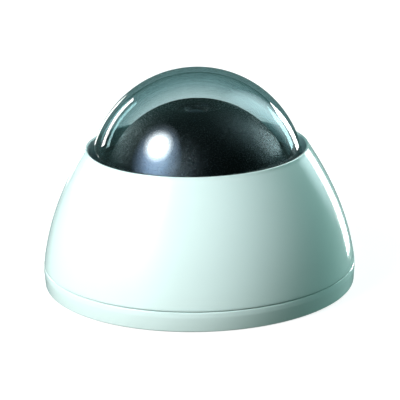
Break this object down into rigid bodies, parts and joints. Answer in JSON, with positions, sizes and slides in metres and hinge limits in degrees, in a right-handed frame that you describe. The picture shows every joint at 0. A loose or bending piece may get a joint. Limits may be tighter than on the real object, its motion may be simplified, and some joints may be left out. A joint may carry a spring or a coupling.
{
  "type": "dome cctv camera",
  "caption": "Ceiling dome camera: round twist-off cover with a clear dome over a black ball head that pans, tilts and rotates, on a base plate with a cable inlet.",
  "frame": {"origin": "middle of the flat mounting face at the bottom of the base plate", "axes": "+Z runs out through the dome along the camera's axis of symmetry, -Y is the front and +Y the cable inlet side"},
  "size_m": [0.1108, 0.1108, 0.0764],
  "materials": {
    "white_plastic": "glossy moulded white",
    "clear_plastic": "clear polished, lightly smoked",
    "black_plastic": "fine matt grain",
    "grey_plastic": "satin moulded",
    "black_rubber": "matt",
    "steel": "zinc plated",
    "brass": "satin",
    "aluminium": "cast and machined",
    "board_green": "solder mask",
    "chip_black": "moulded resin",
    "terminal_green": "moulded",
    "switch_blue": "moulded",
    "sensor_glass": "dark polished",
    "lens_glass": "coated glass"
  },
  "bodies": {
    "base": {"base_plate": "white_plastic", "cable_grommet": "black_rubber", "power_board": "board_green", "board_screw_1": "steel", "board_screw_2": "steel", "board_screw_3": "steel", "terminal_screw_1": "steel", "terminal_screw_2": "steel", "terminal_block": "terminal_green", "video_socket": "grey_plastic", "inductor": "grey_plastic", "switch_block": "switch_blue", "regulator": "chip_black", "capacitor_1": "chip_black", "capacitor_2": "chip_black"},
    "seal": {"seam_seal": "black_rubber"},
    "cover": {"cover_shell": "white_plastic", "dome_bubble": "clear_plastic", "dome_gasket": "black_rubber", "dome_clamp_ring": "black_plastic", "clamp_screw_1": "steel", "clamp_screw_2": "steel", "clamp_screw_3": "steel"},
    "turntable": {"pan_turntable": "grey_plastic", "pan_retaining_ring": "steel", "friction_washer_left": "steel", "friction_washer_right": "steel"},
    "pan_lock": {"pan_lock_screw": "brass"},
    "tilt_lock_left": {"tilt_lock_screw_left": "steel"},
    "tilt_lock_right": {"tilt_lock_screw_right": "steel"},
    "ball": {"liner_ball": "black_plastic", "tilt_frame": "grey_plastic", "ball_screw_1": "steel", "ball_screw_2": "steel", "ball_screw_3": "steel"},
    "head": {"head_chassis": "aluminium", "lens_lock_ring": "aluminium", "head_retaining_ring": "steel", "sensor_screw_1": "steel", "sensor_screw_2": "steel", "lens_holder": "black_plastic", "sensor_board": "board_green", "processor_board": "board_green", "image_sensor": "sensor_glass", "processor_chip": "chip_black", "board_connector": "chip_black", "standoff_1": "brass", "standoff_2": "brass", "lead_socket": "white_plastic"},
    "lens": {"lens_barrel": "black_plastic", "front_lens": "lens_glass", "rear_lens": "lens_glass"}
  },
  "joints": [
    {"name": "cover_twist", "type": "hinge", "parent": "base", "child": "seal", "pos_m": [0, 0, 0.006], "axis": [0, 0, 1], "range_deg": [0, 15]},
    {"name": "cover_lift", "type": "slide", "parent": "seal", "child": "cover", "axis": [0, 0, 1], "range_m": [0, 0.07]},
    {"name": "pan", "type": "hinge", "parent": "base", "child": "turntable", "pos_m": [0, 0, 0.01], "axis": [0, 0, 1], "range_deg": [-175, 175]},
    {"name": "tilt", "type": "hinge", "parent": "turntable", "child": "ball", "pos_m": [0, 0, 0.03131], "axis": [1, 0, 0], "range_deg": [-40, 40]},
    {"name": "head_rotate", "type": "hinge", "parent": "ball", "child": "head", "pos_m": [0, 0, 0.045], "axis": [0, 0, 1], "range_deg": [-90, 90]},
    {"name": "lens_focus", "type": "hinge", "parent": "head", "child": "lens", "pos_m": [0, 0, 0.05], "axis": [0, 0, 1], "range_deg": [-180, 180]},
    {"name": "pan_lock", "type": "hinge", "parent": "turntable", "child": "pan_lock", "pos_m": [0, -0.01015, 0.0113], "axis": [0, 0, 1], "range_deg": [0, 180]},
    {"name": "tilt_lock_left", "type": "hinge", "parent": "turntable", "child": "tilt_lock_left", "pos_m": [-0.0296, 0, 0.03131], "axis": [-1, 0, 0], "range_deg": [0, 180]},
    {"name": "tilt_lock_right", "type": "hinge", "parent": "turntable", "child": "tilt_lock_right", "pos_m": [0.0296, 0, 0.03131], "axis": [1, 0, 0], "range_deg": [0, 180]}
  ]
}
